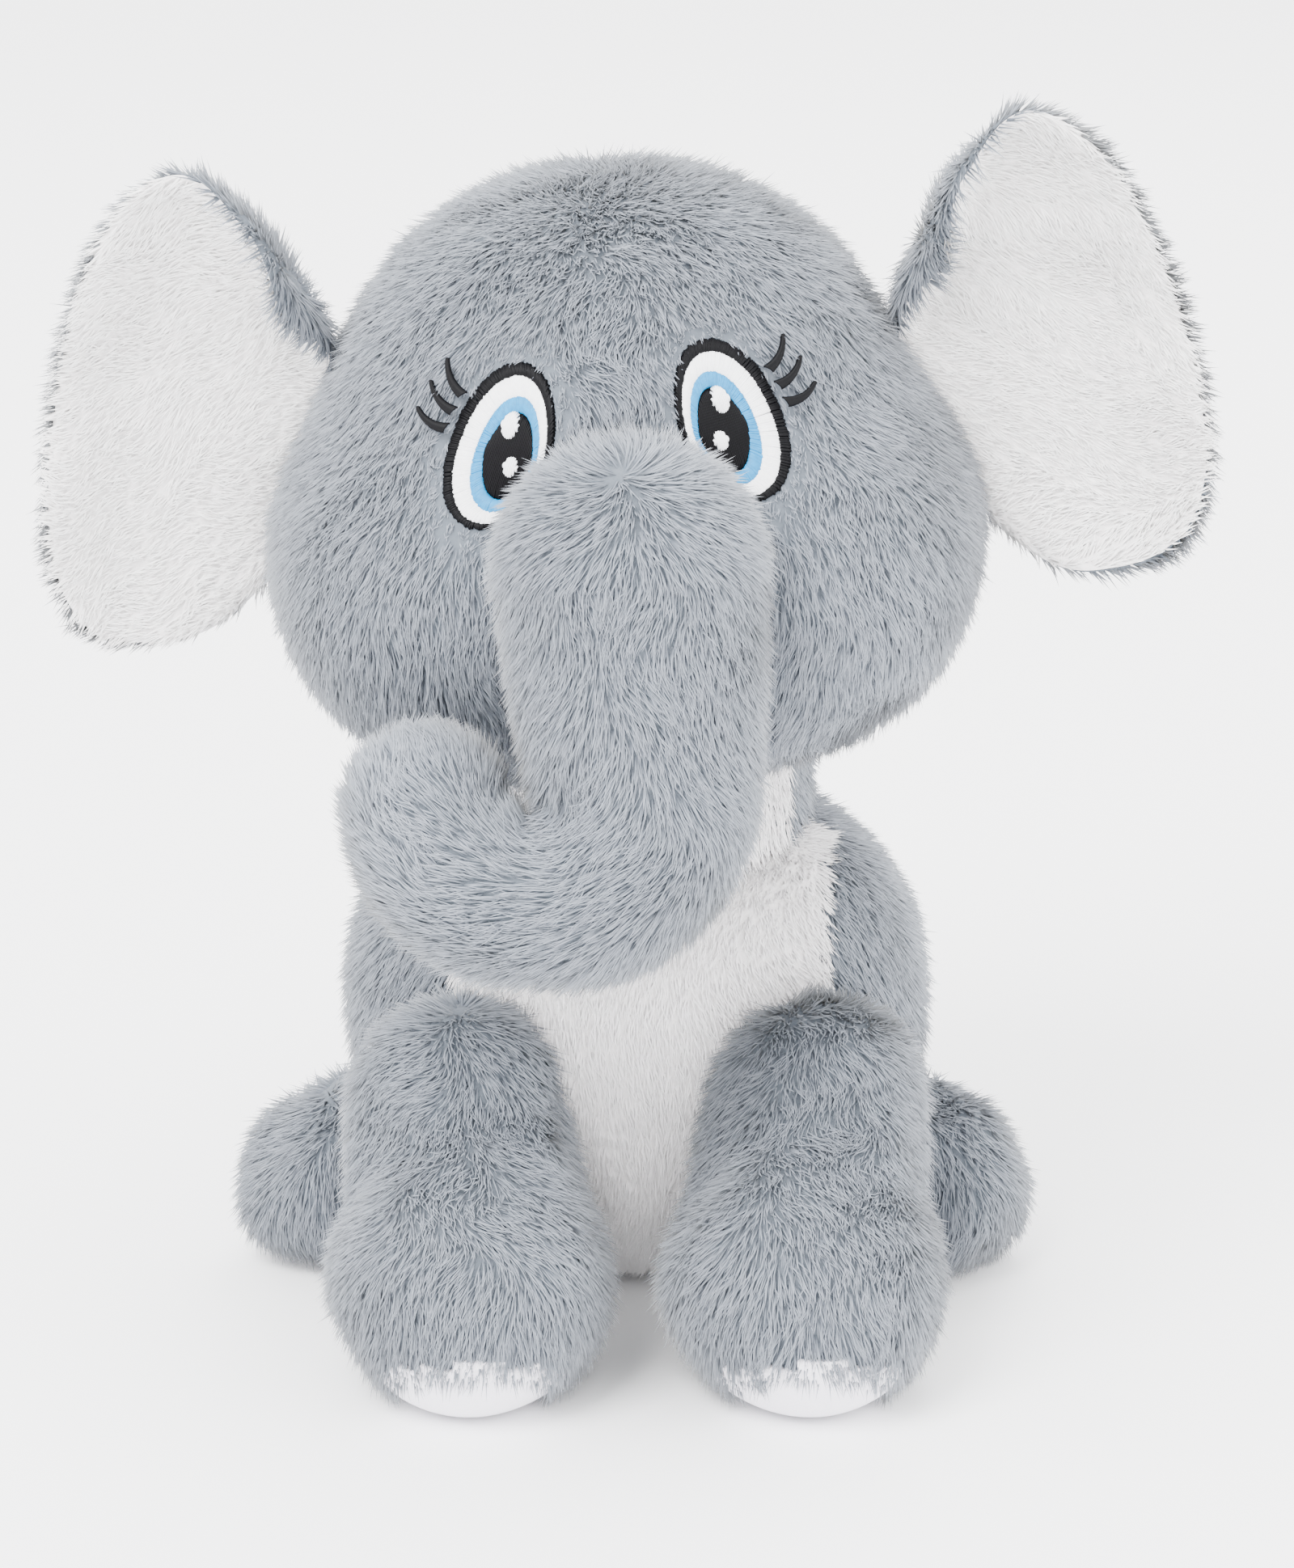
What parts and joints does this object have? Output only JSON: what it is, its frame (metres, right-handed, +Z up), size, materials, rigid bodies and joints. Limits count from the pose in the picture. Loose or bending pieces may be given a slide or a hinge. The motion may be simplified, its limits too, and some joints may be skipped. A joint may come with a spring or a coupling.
{
  "type": "stuffed elephant",
  "caption": "Sitting plush elephant toy with a curled trunk, wide cupped ears, embroidered eyes, stubby legs and a short tail, weighted at the seat.",
  "frame": {"origin": "on the floor, at the middle of the seat panel under the torso", "axes": "+Z up, the animal faces -Y and its own left side is +X"},
  "size_m": [0.2787, 0.257, 0.2939],
  "materials": {
    "grey_plush": "long soft pile, light bluish grey with dark roots",
    "white_plush": "soft white pile",
    "white_short_plush": "shorter white pile",
    "pale_sole_cloth": "smooth short-pile cloth, pale lilac white",
    "polyester_filling": "loose white fibre",
    "pellets": "small beads in a cloth bag",
    "black_thread": "satin stitches",
    "white_thread": "satin stitches",
    "blue_thread": "satin stitches"
  },
  "bodies": {
    "torso": {"belly_panel": "white_short_plush", "back_panel": "grey_plush", "left_flank_panel": "grey_plush", "right_flank_panel": "grey_plush", "seat_panel": "pale_sole_cloth", "torso_filling": "polyester_filling", "pellet_bag": "pellets"},
    "neck": {"neck_filling": "polyester_filling"},
    "head": {"head_gusset": "grey_plush", "chin_panel": "grey_plush", "nape_panel": "grey_plush", "left_head_panel": "grey_plush", "right_head_panel": "grey_plush", "head_filling": "polyester_filling", "left_eye_outline": "black_thread", "left_eye_white": "white_thread", "left_eye_iris": "blue_thread", "left_eye_pupil": "black_thread", "left_eye_glints": "white_thread", "left_eyelashes": "black_thread", "right_eye_outline": "black_thread", "right_eye_white": "white_thread", "right_eye_iris": "blue_thread", "right_eye_pupil": "black_thread", "right_eye_glints": "white_thread", "right_eyelashes": "black_thread"},
    "trunk_base": {"trunk_base_skin": "grey_plush", "trunk_base_filling": "polyester_filling"},
    "trunk_tip": {"trunk_tip_skin": "grey_plush", "trunk_tip_filling": "polyester_filling"},
    "left_ear": {"left_ear_front": "white_plush", "left_ear_back": "grey_plush", "left_ear_wadding": "polyester_filling"},
    "left_foreleg": {"left_foreleg_inner_panel": "grey_plush", "left_foreleg_outer_panel": "grey_plush", "left_foreleg_filling": "polyester_filling", "left_forefoot_sole": "pale_sole_cloth"},
    "left_hindleg": {"left_hindleg_inner_panel": "grey_plush", "left_hindleg_outer_panel": "grey_plush", "left_hindleg_filling": "polyester_filling", "left_hindfoot_sole": "pale_sole_cloth"},
    "right_ear": {"right_ear_front": "white_plush", "right_ear_back": "grey_plush", "right_ear_wadding": "polyester_filling"},
    "right_foreleg": {"right_foreleg_inner_panel": "grey_plush", "right_foreleg_outer_panel": "grey_plush", "right_foreleg_filling": "polyester_filling", "right_forefoot_sole": "pale_sole_cloth"},
    "right_hindleg": {"right_hindleg_inner_panel": "grey_plush", "right_hindleg_outer_panel": "grey_plush", "right_hindleg_filling": "polyester_filling", "right_hindfoot_sole": "pale_sole_cloth"},
    "tail": {"tail_cord": "grey_plush", "tail_tuft": "grey_plush"}
  },
  "joints": [
    {"name": "neck_turn", "type": "hinge", "parent": "torso", "child": "neck", "pos_m": [0, -0.008, 0.127], "axis": [0, 0, 1], "range_deg": [-18, 18]},
    {"name": "head_nod", "type": "hinge", "parent": "neck", "child": "head", "pos_m": [0, -0.008, 0.127], "axis": [1, 0, 0], "range_deg": [-5, 5]},
    {"name": "trunk_lift", "type": "hinge", "parent": "head", "child": "trunk_base", "pos_m": [-0.00182, -0.097, 0.19604], "axis": [-0.9976, 0, -0.0698], "range_deg": [0, 32]},
    {"name": "trunk_uncurl", "type": "hinge", "parent": "trunk_base", "child": "trunk_tip", "pos_m": [-0.00934, -0.11653, 0.13149], "axis": [-0.0204, -0.9563, 0.2917], "range_deg": [0, 18]},
    {"name": "left_ear_flap", "type": "hinge", "parent": "head", "child": "left_ear", "pos_m": [0.07271, -0.01788, 0.21355], "axis": [-0.3584, 0, 0.9336], "range_deg": [-25, 25]},
    {"name": "right_ear_flap", "type": "hinge", "parent": "head", "child": "right_ear", "pos_m": [-0.08405, -0.01788, 0.20259], "axis": [0.225, 0, 0.9744], "range_deg": [-25, 25]},
    {"name": "left_foreleg_swing", "type": "hinge", "parent": "torso", "child": "left_foreleg", "pos_m": [0.0415, -0.055, 0.057], "axis": [-1, 0, 0], "range_deg": [0, 30]},
    {"name": "right_foreleg_swing", "type": "hinge", "parent": "torso", "child": "right_foreleg", "pos_m": [-0.0415, -0.055, 0.057], "axis": [-1, 0, 0], "range_deg": [0, 30]},
    {"name": "left_hindleg_swing", "type": "hinge", "parent": "torso", "child": "left_hindleg", "pos_m": [0.062, -0.003, 0.023], "axis": [0, 0, 1], "range_deg": [-12, 12]},
    {"name": "right_hindleg_swing", "type": "hinge", "parent": "torso", "child": "right_hindleg", "pos_m": [-0.062, -0.003, 0.023], "axis": [0, 0, 1], "range_deg": [-12, 12]},
    {"name": "tail_wag", "type": "hinge", "parent": "torso", "child": "tail", "pos_m": [0, 0.0573, 0.034], "axis": [0, 0, 1], "range_deg": [-16, 16]}
  ]
}
